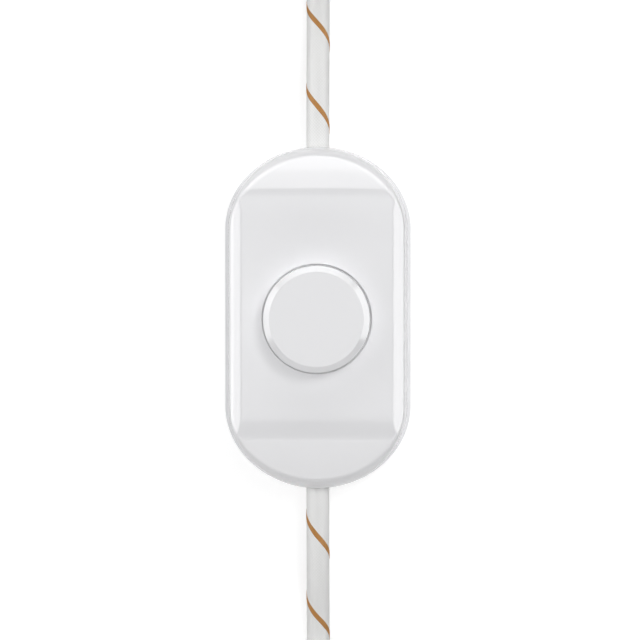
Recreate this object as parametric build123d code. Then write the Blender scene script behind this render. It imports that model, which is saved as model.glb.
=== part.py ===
from build123d import *

import os
from math import cos, radians, sin, tan

# Inline cord dimmer. It lies on its flat underside, +Z up through the knob and Y along the cord.
# The origin is the middle of the underside. The mains side is +Y and the lamp side is -Y.

# Housing
housing_length = 92.0
housing_width = 50.0
housing_height = 24.0
end_depth = 22.2
parting_height = 8.5
wall = 2.2
roof = 2.2
floor = 2.2
parting_step = 0.8
wall_draft = 1.0
underside_rounding = 1.2
rim_rounding = 0.6

# End walls: upright over the cord, then rounded inwards by pairs of rise and reach
end_wall_top = 12.5
end_rounding = ((3.0, 0.9), (6.0, 3.0), (11.5, 8.0))

# Moulded top surface: a flat face with rounded shoulders and two steps down to each end.
# It lies a little towards the mains side.
face_shift = 0.9
shoulder_width = 5.1
shoulder_radius = 8.0
shoulder_angles = (12.0, 76.0)
band_setback = 17.9
slope_setback = 12.5
band_angles = (3.5, 13.0)
slope_radius = 40.0
slope_angles = (20.0, 43.0)

# Lap joint between the shells
lap_height = 1.6
lap_wall = 1.5
lap_clearance = 0.15

# Housing screws, driven up from the underside
boss_side_gap = 7.5
boss_y = 28.5
boss_radius = 3.2
well_radius = 3.0
well_wall = 1.4
well_depth = 3.0
screw_radius = 1.25
screw_length = 10.0
screw_head_radius = 2.75
screw_head_height = 1.8
screw_clearance = 0.4
pilot_clearance = 0.05
pilot_spare = 0.6
screw_slot_width = 0.6
screw_slot_depth = 0.8
screw_slot_reach = 0.55

# How far joined solids run into each other, and how far a cut runs past its solid
overlap = 0.5
spare = 1.0

# Circuit board
board_width = 38.0
board_length = 47.0
board_thickness = 1.6
board_height = 6.0
board_post_radius = 2.6
board_post_x = 15.5
board_post_y = 20.0
board_screw_radius = 1.0
board_screw_length = 4.4
board_screw_head_radius = 2.2
board_screw_head_height = 1.4
board_screw_slot_depth = 0.6
board_corner = 1.5
lead_radius = 0.35
lead_clearance = 0.1
lead_below = 1.2

# Potentiometer with its switch
shaft_radius = 3.0
shaft_clearance = 0.05
bush_radius = 3.5
bush_hole_clearance = 0.25
bush_drop = 0.4
bush_collar_depth = 2.0
bush_chamfer = 0.3
switch_radius = 8.0
switch_height = 4.4
switch_rounding = 0.6
potentiometer_radius = 8.5
potentiometer_height = 3.0
potentiometer_pin_pitch = 2.5
potentiometer_pin_reach = 1.2
potentiometer_tab = (8.0, 2.0, 1.4)
bush_plate_thickness = 1.2
wiper_radius = 6.0
wiper_thickness = 0.9
wiper_gap = 0.5
wiper_notch = (3.0, 1.0)
shaft_flat = 1.2
shaft_chamfer = 0.5

# Knob
knob_radius = 14.3
knob_shoulder_radius = 14.1
knob_flat_radius = 12.5
knob_bevel_height = 1.4
knob_rise = 7.0
knob_well_gap = 0.35
knob_well_depth = 0.8
knob_gap = 0.4
knob_edge_rounding = 0.35
knob_wall = 1.6
knob_hub_radius = 5.2
knob_hub_lift = 0.9
knob_rib_thickness = 1.0
knob_rib_count = 6
knob_rib_turn = 30.0
knob_rib_lift = 1.0
knob_bore_clearance = 0.03
shaft_top_gap = 0.4
clip_thickness = 0.5
clip_width = 2.4
clip_ends = (0.4, 1.0)

# Cord
cord_radius = 3.1
cord_hole_clearance = 0.15
cord_height = 8.5
core_radius = 1.1
core_spacing = 2.6
core_bend = 4.0
core_lead_in = 3.0
core_straight = 2.5
sheath_spare = 0.5

# Cord clamps
clamp_setback = 9.1
clamp_length = 4.8
clamp_half_width = 9.2
clamp_thickness = 4.2
clamp_gap = 0.9
clamp_rounding = 1.2
clamp_screw_x = 6.8
clamp_post_radius = 2.4
clamp_screw_radius = 1.15
clamp_screw_head_radius = 2.3
clamp_screw_head_height = 1.6
clamp_screw_length = 9.0
cradle_half_width = 3.9
cradle_clearance = 0.1

# Terminal blocks
terminal_width = 10.0
terminal_length = 8.0
terminal_height = 9.4
terminal_y = 18.5
terminal_pitch = 5.2
terminal_entry_radius = 1.4
terminal_entry_depth = 5.5
terminal_entry_height = 3.9
terminal_well_radius = 1.9
terminal_screw_radius = 1.6
terminal_screw_length = 3.2
terminal_screw_lift = 0.1
terminal_corner = 0.6

# Triac and heat sink
heat_sink_thickness = 1.4
heat_sink_length = 19.0
heat_sink_height = 12.8
heat_sink_foot = 2.6
heat_sink_corner = 2.0
heat_sink_x = 14.6
heat_sink_y = 3.0
triac_width = 7.8
triac_height = 10.8
triac_thickness = 2.7
triac_lift = 1.0
triac_chamfer = 0.4
triac_lead_pitch = 2.3
triac_hole_height = 8.0
sink_screw_radius = 1.45
sink_screw_clearance = 0.15
sink_screw_head_radius = 2.6
sink_screw_head_height = 1.7
sink_nut_width = 5.5
sink_nut_thickness = 2.0
sink_screw_spare = 0.8

# Radio filter and timing parts
choke_x = -11.5
choke_y = -13.0
core_outer_radius = 5.3
core_inner_radius = 2.9
core_thickness = 5.0
core_rounding = 0.5
winding_thickness = 0.8
winding_gap = 30.0
winding_lead_spacing = 1.6
film_capacitor_size = (5.6, 12.0, 10.4)
film_capacitor_place = (9.6, -16.0)
timing_capacitor_size = (3.2, 6.5, 6.6)
timing_capacitor_place = (8.8, 18.0)
capacitor_corner = 0.6
capacitor_lead_inset = 1.2
resistor_radius = 1.15
resistor_length = 6.3
resistor_bend = 1.6
resistor_places = ((12.6, 18.0), (15.4, -12.1), (-8.0, 18.6))
diac_radius = 0.9
diac_length = 4.0
diac_place = (-11.0, 18.6)

# Fuse
fuse_x = -13.6
fuse_y = 4.5
fuse_radius = 2.5
fuse_length = 20.0
fuse_cap_length = 5.0
fuse_cap_wall = 0.15
fuse_glass = 0.6
fuse_glass_end = 1.0
fuse_lift = 4.4
clip_wall = 0.5
clip_length = 3.6
clip_rise = 1.2
clip_foot_width = 2.4

# Hanks of put-away cord, beyond the ends of the object
hank_near = 90.5
hank_columns = 2
hank_fold_radius = 18.6
mains_hank_length = 124.0
mains_hank_layers = 2
lamp_hank_length = 96.0
lamp_hank_layers = 2
tie_width = 12.0
tie_thickness = 0.7
tie_clearance = 0.05

# Plug and the lamp end
plug_width = 35.3
plug_thickness = 13.7
plug_length = 24.0
plug_rear_width = 15.0
plug_rear_thickness = 11.0
plug_rear_rounding = 4.0
plug_middle_share = (0.86, 0.97)
plug_guard_length = 20.0
plug_guard_radii = (4.9, 3.9)
plug_guard_grooves = 4
plug_guard_groove_depth = 0.6
plug_guard_groove_share = 0.35
plug_guard_first_groove = 0.75
plug_pin_radius = 2.0
plug_pin_length = 19.0
plug_pin_root = 6.0
plug_pin_pitch = 19.0
plug_sleeve_length = 10.0
plug_sleeve_wall = 0.3
plug_tip_rounding = 1.2
plug_front_rounding = 3.0
end_sleeve_radius = 3.6
end_sleeve_length = 16.0
end_sleeve_clearance = 0.05
end_sleeve_rounding = 0.8
end_core_length = 24.0
end_core_spread = 4.6
end_core_drop = 1.7
end_core_straight = 4.0
end_core_run = 12.0
end_core_bend = 4.0
ferrule_radius = 0.75
ferrule_length = 8.0
ferrule_collar_wall = 0.3
ferrule_collar_length = 1.5

# Worked out from the values above
face_half_width = housing_width / 2 - shoulder_width
band_start = housing_length / 2 - band_setback
band_end = housing_length / 2 - slope_setback
boss_x = housing_width / 2 - boss_side_gap
clamp_y = housing_length / 2 - clamp_setback
sheath_end = clamp_y - clamp_length / 2 - sheath_spare
roof_underside = housing_height - roof
board_top = board_height + board_thickness
boss_drill = well_depth + screw_length + pilot_spare
switch_top = board_top + switch_height
potentiometer_top = switch_top + potentiometer_height
bush_plate_top = potentiometer_top + bush_plate_thickness
bush_top = housing_height - bush_drop
knob_well_floor = housing_height - knob_well_depth
knob_bottom = knob_well_floor + knob_gap
knob_top = housing_height + knob_rise
knob_inside_top = knob_top - knob_wall
shaft_top = knob_inside_top - shaft_top_gap
knob_hub_bottom = knob_bottom + knob_hub_lift
terminal_top = board_top + terminal_height
terminal_entry_z = board_top + terminal_entry_height
cord_diameter = 2 * cord_radius
hank_outer_radius = hank_fold_radius + (hank_columns - 1) * cord_diameter
hank_half_width = hank_outer_radius + cord_radius
hank_opening = hank_fold_radius - cord_radius
clamp_seat = parting_height + clamp_gap


def block(x, y, z):
    """A box given by its low and high values along X, Y and Z."""
    low, high = Vector(x[0], y[0], z[0]), Vector(x[1], y[1], z[1])
    size = high - low
    return Pos(*((low + high) * 0.5)) * Box(size.X, size.Y, size.Z)


def post(radius, low, high, place=(0, 0)):
    """An upright round bar at a place on the board's plan."""
    return Pos(place[0], place[1], (low + high) / 2) * Cylinder(radius, high - low)


def bar_along_y(radius, low, high, x, z):
    return Pos(x, (low + high) / 2, z) * Rot(90, 0, 0) * Cylinder(radius, high - low)


def bar_along_x(radius, low, high, y, z):
    return Pos((low + high) / 2, y, z) * Rot(0, 90, 0) * Cylinder(radius, high - low)


def four_corners(x, y):
    return [(x, y), (-x, y), (-x, -y), (x, -y)]


def both_ends(shape):
    """The mains side's shape and its mirror image on the lamp side."""
    return shape, mirror(shape, about=Plane.XZ)


def joined(shapes):
    """Separate solids kept together in one node."""
    return Compound(children=[solid for shape in shapes for solid in shape.solids()])


# Housing

def outline(inset, height, lean=0):
    """The housing's plan: straight sides and half-ellipse ends, moved inwards by the inset."""
    half_width = housing_width / 2 - inset
    depth = end_depth - inset - lean
    straight = housing_length / 2 - end_depth
    edges = [
        Line((half_width, -straight), (half_width, straight)),
        EllipticalCenterArc((0, straight), half_width, depth, 0, arc_size=180),
        Line((-half_width, straight), (-half_width, -straight)),
        EllipticalCenterArc((0, -straight), half_width, depth, 180, arc_size=180),
    ]
    return Pos(0, 0, height) * make_face(edges)


def outline_block(inset, low, high):
    return extrude(outline(inset, low), high - low)


def arc_points(start, radius, angles):
    """First, middle and last point of an arc that bends down and outwards from its start."""
    first, last = angles
    centre = (start[0] - radius * sin(radians(first)), start[1] - radius * cos(radians(first)))
    turns = (radians(first), radians((first + last) / 2), radians(last))
    return [(centre[0] + radius * sin(turn), centre[1] + radius * cos(turn)) for turn in turns]


def section_face(arcs, base):
    """A profile that is symmetric about Z, from the arcs of its right-hand side."""
    left_arcs = [[(-across, height) for across, height in reversed(arc)] for arc in reversed(arcs)]
    edges = []
    for arc in left_arcs + arcs:
        if edges and (edges[-1] @ 1 - Vector(*arc[0])).length > 0.001:
            edges.append(Line(edges[-1] @ 1, arc[0]))
        edges.append(ThreePointArc(*arc))
    right, left = edges[-1] @ 1, edges[0] @ 0
    edges.append(Polyline(right, (right.X, base), (left.X, base), left))
    return make_face(edges)


def shoulder_section(inset, drop):
    """Across the housing: the flat face and its two rounded shoulders."""
    start = (face_half_width - inset, housing_height - drop)
    return section_face([arc_points(start, shoulder_radius, shoulder_angles)], 0)


def end_section(inset, drop):
    """Along the housing: the flat face, the shallow band and the slope at each end."""
    first, last = (sin(radians(angle)) for angle in band_angles)
    band_radius = (band_end - band_start) / (last - first)
    band = arc_points((band_start - inset, housing_height - drop), band_radius, band_angles)
    slope = arc_points(band[-1], slope_radius, slope_angles)
    return section_face([band, slope], 0)


def wall_section(inset, height, lean):
    """The upper shell's outline at a height, flush with the lower shell's at the ends."""
    draft = wall_draft * (height - parting_height) / (housing_height - parting_height)
    return outline(parting_step + draft + inset, height, lean - parting_step)


def crossed_form(inset, drop):
    """The upper shell's form: two profiles crossed, inside walls that round inwards at the ends."""
    upright = [wall_section(inset, height, 0) for height in (parting_height, end_wall_top)]
    rounding = [wall_section(inset, end_wall_top + rise, lean) for rise, lean in end_rounding]
    prism = loft(upright, ruled=True) + loft([upright[1], *rounding])
    across = extrude(Plane.XZ * shoulder_section(inset, drop), housing_length, both=True)
    along = Pos(0, face_shift, 0) * extrude(Plane.YZ * end_section(inset, drop), housing_width, both=True)
    return prism & across & along


def wall_faces(shape):
    return [face for face in shape.faces() if abs(face.normal_at().Z) < 0.6]


def rim_edges(shape, low):
    """The edges where the top surfaces meet the outer wall."""
    edges = ShapeList()
    for face in wall_faces(shape):
        for edge in face.edges():
            upright = abs((edge % 0.5).Z) > 0.8
            if not upright and (edge @ 0.5).Z > low:
                edges.append(edge)
    return edges


def cord_holes():
    radius = cord_radius + cord_hole_clearance
    return bar_along_y(radius, -housing_length, housing_length, 0, cord_height)


def lap_gap_block(inset_out, inset_in, low, high):
    return outline_block(inset_out, low, high) - outline_block(inset_in, low - spare, high + spare)


def make_upper_shell():
    form = crossed_form(0, 0)
    form = fillet(rim_edges(form, end_wall_top + overlap), rim_rounding)
    inner_wall = parting_step + wall
    cavity = crossed_form(wall, roof)
    shell = form - cavity
    tongue_low = parting_height - lap_height + lap_clearance
    shell += lap_gap_block(lap_wall + lap_clearance, inner_wall, tongue_low, parting_height + overlap)
    pillars = [post(boss_radius, parting_height, housing_height, place)
               for place in four_corners(boss_x, boss_y)]
    shell += [pillar & crossed_form(wall / 2, roof / 2) for pillar in pillars]
    bush_hole = bush_radius + bush_hole_clearance
    shell += post(bush_hole + wall / 2, roof_underside - bush_collar_depth, roof_underside + overlap)
    shell -= post(knob_radius + knob_well_gap, knob_well_floor, housing_height + spare)
    drill = screw_radius + pilot_clearance
    for place in four_corners(boss_x, boss_y):
        shell -= post(drill, parting_height - spare, boss_drill, place)
    shell -= post(bush_hole, parting_height, housing_height)
    return shell - cord_holes()


def make_lower_shell():
    tray = outline_block(0, 0, parting_height)
    bottom = tray.faces().sort_by(Axis.Z)[0].edges()
    tray = fillet(bottom, underside_rounding)
    tray -= outline_block(wall, floor, parting_height + spare)
    tray -= outline_block(lap_wall, parting_height - lap_height, parting_height + spare)
    for place in four_corners(boss_x, boss_y):
        lower_boss = post(well_radius + well_wall, floor - overlap, parting_height, place)
        tray += lower_boss & outline_block(parting_step + wall + lap_clearance, 0, housing_height)
        tray -= post(well_radius, -spare, well_depth, place)
        tray -= post(screw_radius + screw_clearance, 0, housing_height, place)
    for place in four_corners(board_post_x, board_post_y):
        tray += post(board_post_radius, floor - overlap, board_height, place)
    for place in board_screw_places():
        tray -= post(board_screw_radius + pilot_clearance, floor, board_height + spare, place)
    near, far = clamp_y - clamp_length / 2, clamp_y + clamp_length / 2
    width = (-cradle_half_width, cradle_half_width)
    for cradle in both_ends(block(width, (near, far), (floor - overlap, cord_height))):
        tray += cradle
    cradle_radius = cord_radius + cradle_clearance
    tray -= bar_along_y(cradle_radius, -far, far, 0, cord_height)
    for place in clamp_screw_places():
        tray += post(clamp_post_radius, floor - overlap, clamp_seat, place)
        tray -= post(clamp_screw_radius + pilot_clearance, floor, clamp_seat + spare, place)
    return tray - cord_holes()


def make_screw(radius, length, head_radius, head_height, slot_depth=screw_slot_depth):
    """A screw with its head's seat at z = 0 and its shank going down."""
    shank = post(radius, -length, 0)
    head = post(head_radius, 0, head_height)
    head = fillet(head.edges().sort_by(Axis.Z)[-1], head_height / 3)
    arm = 2 * screw_slot_reach * head_radius
    cross = Box(arm, screw_slot_width, 2 * slot_depth) + Box(screw_slot_width, arm, 2 * slot_depth)
    return shank + head - Pos(0, 0, head_height) * cross


def make_housing_screws():
    screw = Rot(180, 0, 0) * make_screw(
        screw_radius, screw_length, screw_head_radius, screw_head_height)
    return joined([Pos(x, y, well_depth) * screw for x, y in four_corners(boss_x, boss_y)])


# Board and what stands on it

def board_screw_places():
    return [(board_post_x, -board_post_y), (-board_post_x, board_post_y)]


def clamp_screw_places():
    return four_corners(clamp_screw_x, clamp_y)


def leads(places, top):
    """Round wire leads from a component down through the board."""
    return [post(lead_radius, board_height - lead_below, top, place) for place in places]


def potentiometer_lead_places():
    y = potentiometer_radius + potentiometer_pin_reach
    wiper_side = [(step * potentiometer_pin_pitch, -y) for step in (-1, 0, 1)]
    switch_side = [(step * potentiometer_pin_pitch, y) for step in (-1, 1)]
    return wiper_side + switch_side


def terminal_lead_places(side):
    return [(pole * terminal_pitch / 2, side * terminal_y) for pole in (-1, 1)]


def triac_lead_places():
    x = heat_sink_x - triac_thickness / 2
    return [(x, heat_sink_y + step * triac_lead_pitch) for step in (-1, 0, 1)]


def choke_lead_places():
    reach = core_outer_radius - winding_thickness
    return [(choke_x + reach, choke_y + side * winding_lead_spacing / 2) for side in (-1, 1)]


def box_lead_places(place, size):
    reach = size[1] / 2 - capacitor_lead_inset
    return [(place[0], place[1] - reach), (place[0], place[1] + reach)]


def axial_lead_places(place, length):
    reach = length / 2 + resistor_bend
    return [(place[0], place[1] - reach), (place[0], place[1] + reach)]


def fuse_clip_centres():
    reach = fuse_length / 2 - fuse_cap_length / 2
    return [(fuse_x, fuse_y - reach), (fuse_x, fuse_y + reach)]


def all_lead_places():
    places = potentiometer_lead_places() + triac_lead_places() + choke_lead_places()
    places += terminal_lead_places(1) + terminal_lead_places(-1)
    places += box_lead_places(film_capacitor_place, film_capacitor_size)
    places += box_lead_places(timing_capacitor_place, timing_capacitor_size)
    for place in resistor_places:
        places += axial_lead_places(place, resistor_length)
    places += axial_lead_places(diac_place, diac_length)
    return places + fuse_clip_centres()


def make_circuit_board():
    half_x, half_y = board_width / 2, board_length / 2
    board = block((-half_x, half_x), (-half_y, half_y), (board_height, board_top))
    board = fillet(board.edges().filter_by(Axis.Z), board_corner)
    for place in all_lead_places():
        board -= post(lead_radius + lead_clearance, 0, housing_height, place)
    for place in board_screw_places():
        board -= post(board_screw_radius + screw_clearance, 0, housing_height, place)
    return board


def make_board_screws():
    screw = make_screw(board_screw_radius, board_screw_length,
                       board_screw_head_radius, board_screw_head_height, board_screw_slot_depth)
    return joined([Pos(x, y, board_top) * screw for x, y in board_screw_places()])


def make_switch_case():
    case = post(switch_radius, board_top, switch_top)
    return fillet(case.edges().sort_by(Axis.Z)[0], switch_rounding)


def make_potentiometer_body():
    body = post(potentiometer_radius, switch_top, potentiometer_top)
    bowl = post(wiper_radius + wiper_gap, switch_top + wiper_gap, potentiometer_top + spare)
    tab_width, tab_reach, tab_thickness = potentiometer_tab
    tab_x, tab_y = tab_width / 2, potentiometer_radius + tab_reach
    tab = block((-tab_x, tab_x), (-tab_y, tab_y), (switch_top, switch_top + tab_thickness))
    return body + tab - bowl


def make_potentiometer_pins():
    return joined(leads(potentiometer_lead_places(), switch_top))


def make_potentiometer_bush():
    plate = post(potentiometer_radius, potentiometer_top, bush_plate_top)
    stem = post(bush_radius, potentiometer_top, bush_top)
    stem = chamfer(stem.edges().sort_by(Axis.Z)[-1], bush_chamfer)
    return plate + stem - post(shaft_radius + shaft_clearance, 0, housing_height)


def make_potentiometer_shaft():
    low = switch_top + 2 * wiper_gap
    shaft = post(shaft_radius, low, shaft_top)
    shaft = chamfer(shaft.edges().sort_by(Axis.Z)[-1], shaft_chamfer)
    flat = block((-shaft_radius, shaft_radius), (shaft_radius - shaft_flat, 2 * shaft_radius),
                 (knob_hub_bottom, shaft_top + spare))
    return shaft - flat


def make_wiper_disc():
    low = switch_top + 2 * wiper_gap
    disc = post(wiper_radius, low, low + wiper_thickness)
    disc -= post(shaft_radius + knob_bore_clearance, 0, housing_height)
    notch_width, notch_depth = wiper_notch
    notch = block((-notch_width / 2, notch_width / 2), (wiper_radius - notch_depth, wiper_radius + spare),
                  (0, housing_height))
    return disc - notch


def make_terminal_block(side):
    half_x = terminal_width / 2
    low_y, high_y = terminal_y - terminal_length / 2, terminal_y + terminal_length / 2
    body = block((-half_x, half_x), (low_y, high_y), (board_top, terminal_top))
    body = fillet(body.edges().filter_by(Axis.Z), terminal_corner)
    for x, y in terminal_lead_places(1):
        entry = bar_along_y(terminal_entry_radius, high_y - terminal_entry_depth, high_y + spare,
                            x, terminal_entry_z)
        body -= entry
        body -= post(terminal_well_radius, terminal_entry_z, terminal_top + spare, (x, y))
    for place in terminal_lead_places(1):
        body += post(lead_radius, board_height - lead_below, board_top + overlap, place)
    return body if side > 0 else mirror(body, about=Plane.XZ)


def make_terminal_screws():
    low = terminal_entry_z + core_radius + terminal_screw_lift
    high, half = low + terminal_screw_length, screw_slot_width / 2
    screws = []
    for side in (1, -1):
        for place in terminal_lead_places(side):
            x, y = place
            screw = post(terminal_screw_radius, low, high, place)
            slot = block((x - terminal_well_radius, x + terminal_well_radius), (y - half, y + half),
                         (high - screw_slot_depth, high + spare))
            screws.append(screw - slot)
    return joined(screws)


def sink_hole_z():
    return board_top + triac_lift + triac_hole_height


def make_heat_sink():
    x, half = heat_sink_x, heat_sink_length / 2
    y = (heat_sink_y - half, heat_sink_y + half)
    plate = block((x, x + heat_sink_thickness), y, (board_top, board_top + heat_sink_height))
    foot = block((x, x + heat_sink_foot), y, (board_top, board_top + heat_sink_thickness))
    sink = plate + foot
    top_corners = [edge for edge in sink.edges().filter_by(Axis.X)
                   if edge.center().Z > board_top + heat_sink_height - overlap]
    sink = fillet(top_corners, heat_sink_corner)
    hole = sink_screw_radius + sink_screw_clearance
    return sink - bar_along_x(hole, x - spare, x + heat_sink_foot + spare, heat_sink_y, sink_hole_z())


def make_triac():
    x, y = (heat_sink_x - triac_thickness, heat_sink_x), heat_sink_y
    low = board_top + triac_lift
    half = triac_width / 2
    body = block(x, (y - half, y + half), (low, low + triac_height))
    body = chamfer(body.edges().filter_by(Axis.Y).group_by(Axis.X)[0], triac_chamfer)
    hole = sink_screw_radius + sink_screw_clearance
    body -= bar_along_x(hole, x[0] - spare, x[1] + spare, y, sink_hole_z())
    for lead in leads(triac_lead_places(), low + overlap):
        body += lead
    return body


def make_heat_sink_screw():
    grip = triac_thickness + heat_sink_thickness + sink_nut_thickness + sink_screw_spare
    screw = make_screw(sink_screw_radius, grip, sink_screw_head_radius, sink_screw_head_height)
    return Pos(heat_sink_x - triac_thickness, heat_sink_y, sink_hole_z()) * Rot(0, -90, 0) * screw


def make_heat_sink_nut():
    low = heat_sink_x + heat_sink_thickness
    face = RegularPolygon(sink_nut_width / 2, 6, major_radius=False)
    nut = extrude(face, sink_nut_thickness)
    nut -= post(sink_screw_radius + pilot_clearance, -spare, sink_nut_thickness + spare)
    return Pos(low, heat_sink_y, sink_hole_z()) * Rot(0, 90, 0) * nut


def choke_place():
    return Pos(choke_x, choke_y, board_top + winding_thickness)


def choke_ring():
    ring = post(core_outer_radius, 0, core_thickness)
    ring -= post(core_inner_radius, -spare, core_thickness + spare)
    return fillet(ring.edges(), core_rounding)


def make_choke_core():
    return choke_place() * choke_ring()


def make_choke_winding():
    """The turns of wire as one sleeve round the ring, open over a small gap."""
    t = winding_thickness
    outer = post(core_outer_radius + t, -t, core_thickness + t)
    outer -= post(core_inner_radius - t, -t - spare, core_thickness + t + spare)
    sleeve = outer - choke_ring()
    reach = core_outer_radius + t + spare
    spread = reach * tan(radians(winding_gap / 2))
    wedge = Polyline((0, 0), (-reach, spread), (-reach, -spread), close=True)
    cutter = extrude(make_face(wedge), core_thickness + t + spare, both=True)
    winding = choke_place() * (sleeve - cutter)
    for lead in leads(choke_lead_places(), board_top + winding_thickness / 2):
        winding += lead
    return winding


def make_box_capacitor(place, size):
    half_x, half_y, height = size[0] / 2, size[1] / 2, size[2]
    body = block((place[0] - half_x, place[0] + half_x), (place[1] - half_y, place[1] + half_y),
                 (board_top, board_top + height))
    body = fillet(body.edges().filter_by(Axis.Z), capacitor_corner)
    for lead in leads(box_lead_places(place, size), board_top + overlap):
        body += lead
    return body


def make_axial_part(place, radius, length):
    """A small part lying along Y above the board, with its two leads bent down."""
    x, z = place[0], board_top + radius
    body = bar_along_y(radius, place[1] - length / 2, place[1] + length / 2, x, z)
    body = fillet(body.edges(), radius * 0.4)
    (_, near), (_, far) = axial_lead_places(place, length)
    low = board_height - lead_below
    wire = FilletPolyline((x, near, low), (x, near, z), (x, far, z), (x, far, low),
                          radius=2 * lead_radius)
    return body + sweep(Plane(wire @ 0, z_dir=wire % 0) * Circle(lead_radius), wire)


def make_resistors():
    return joined([make_axial_part(place, resistor_radius, resistor_length)
                   for place in resistor_places])


def make_fuse_tube():
    z = board_top + fuse_lift
    reach = fuse_length / 2 - fuse_cap_wall
    radius = fuse_radius - fuse_cap_wall
    tube = bar_along_y(radius, fuse_y - reach, fuse_y + reach, fuse_x, z)
    reach -= fuse_glass_end
    return tube - bar_along_y(radius - fuse_glass, fuse_y - reach, fuse_y + reach, fuse_x, z)


def make_fuse_caps():
    z = board_top + fuse_lift
    caps = []
    for side in (1, -1):
        end = fuse_y + side * fuse_length / 2
        inner_end = end - side * fuse_cap_length
        low, high = sorted((end, inner_end))
        cup_low, cup_high = sorted((end - side * fuse_cap_wall, inner_end - side * spare))
        cap = bar_along_y(fuse_radius, low, high, fuse_x, z)
        caps.append(cap - bar_along_y(fuse_radius - fuse_cap_wall, cup_low, cup_high, fuse_x, z))
    return joined(caps)


def make_fuse_clips():
    """Sprung U-shaped clips that hold the fuse by its caps."""
    z = board_top + fuse_lift
    outer = fuse_radius + clip_wall
    clips = []
    for x, y in fuse_clip_centres():
        span = (y - clip_length / 2, y + clip_length / 2)
        ring = bar_along_y(outer, *span, x, z) - bar_along_y(fuse_radius, *span, x, z)
        ring -= block((x - 2 * outer, x + 2 * outer), span, (z + clip_rise, z + 2 * outer))
        half = clip_foot_width / 2
        foot = block((x - half, x + half), span, (board_top, z - fuse_radius - clip_wall / 2))
        clips.append(ring + foot + leads([(x, y)], board_top + overlap)[0])
    return joined(clips)


# Cord clamps and cores

def make_cord_clamp():
    near, far = clamp_y - clamp_length / 2, clamp_y + clamp_length / 2
    bar = block((-clamp_half_width, clamp_half_width), (near, far),
                (clamp_seat, clamp_seat + clamp_thickness))
    bar = fillet(bar.edges().filter_by(Axis.Y).group_by(Axis.Z)[-1], clamp_rounding)
    bar -= bar_along_y(cord_radius + cradle_clearance, near - spare, far + spare, 0, cord_height)
    for x in (-clamp_screw_x, clamp_screw_x):
        bar -= post(clamp_screw_radius + screw_clearance, 0, housing_height, (x, clamp_y))
    return bar


def make_clamp_screws():
    screw = make_screw(clamp_screw_radius, clamp_screw_length,
                       clamp_screw_head_radius, clamp_screw_head_height)
    seat = clamp_seat + clamp_thickness
    return joined([Pos(x, y, seat) * screw for x, y in clamp_screw_places()])


def make_core(pole):
    """One insulated core from the end of the cord's sheath into its terminal."""
    start_x, end_x = pole * core_spacing / 2, pole * terminal_pitch / 2
    face = terminal_y + terminal_length / 2
    seated = face - terminal_entry_depth + spare
    path = FilletPolyline(
        (start_x, sheath_end, cord_height), (start_x, sheath_end - core_lead_in, cord_height),
        (end_x, face + core_straight, terminal_entry_z), (end_x, seated, terminal_entry_z),
        radius=core_bend)
    return sweep(Plane(path @ 0, z_dir=path % 0) * Circle(core_radius), path)


# Knob

def make_knob():
    """A bevelled cap with a thin wall, ribs and a hub whose bore has a flat."""
    inner_radius = knob_shoulder_radius - knob_wall
    profile = Polyline((0, knob_top), (knob_flat_radius, knob_top),
                       (knob_shoulder_radius, knob_top - knob_bevel_height), (knob_radius, knob_bottom),
                       (knob_radius - knob_wall, knob_bottom), (inner_radius, knob_inside_top),
                       (0, knob_inside_top), close=True)
    cap = revolve(Plane.XZ * make_face(profile), Axis.Z)
    cap = fillet(cap.edges().filter_by(GeomType.CIRCLE).sort_by(Axis.Z)[-2:], knob_edge_rounding)
    hub = post(knob_hub_radius, knob_hub_bottom, knob_inside_top + overlap)
    bore = post(shaft_radius + knob_bore_clearance, 0, shaft_top + shaft_top_gap)
    flat_y = shaft_radius - shaft_flat + knob_bore_clearance + clip_thickness
    bore -= block((-knob_radius, knob_radius), (flat_y, knob_radius), (0, knob_top))
    half = knob_rib_thickness / 2
    rib = block((knob_hub_radius - overlap, inner_radius + overlap / 2), (-half, half),
                (knob_hub_bottom + knob_rib_lift, knob_inside_top + overlap))
    ribs = [Rot(0, 0, knob_rib_turn + step * 360 / knob_rib_count) * rib for step in range(knob_rib_count)]
    return cap + (hub + ribs) - bore


def make_knob_spring_clip():
    """A leaf spring between the shaft's flat and the hub's flat."""
    low_y = shaft_radius - shaft_flat
    half = clip_width / 2
    lift, drop = clip_ends
    return block((-half, half), (low_y, low_y + clip_thickness),
                 (knob_hub_bottom + lift, shaft_top - drop))


# Cord outside the housing

def corner_radii(points):
    """The largest arc at each corner that its two runs allow."""
    radii = []
    for before, corner, after in zip(points, points[1:], points[2:]):
        into, out = Vector(*corner) - Vector(*before), Vector(*after) - Vector(*corner)
        turn = radians(into.get_angle(out))
        radii.append(0.45 * min(into.length, out.length) / tan(turn / 2))
    return radii


def make_tube(name, points):
    """A cord's tube along straight runs joined by tangent arcs, with its radii printed."""
    radii = corner_radii(points)
    path = FilletPolyline(*points, radius=radii)
    tube = sweep(Plane(path @ 0, z_dir=path % 0) * Circle(cord_radius), path)
    expected = Circle(cord_radius).area * path.length
    print(name, "length", round(path.length, 1), "radii", [round(radius, 1) for radius in radii],
          "volume ratio", round(tube.volume / expected, 4))
    return tube


def stadium(radius, near, far):
    """A racetrack plan between two ends along +Y."""
    middle = block((-radius, radius), (near + radius, far - radius), (0, 1))
    ends = [post(radius, 0, 1, (0, near + radius)), post(radius, 0, 1, (0, far - radius))]
    top = (middle + ends).faces().sort_by(Axis.Z)[-1]
    return Pos(0, 0, -1) * top


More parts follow.
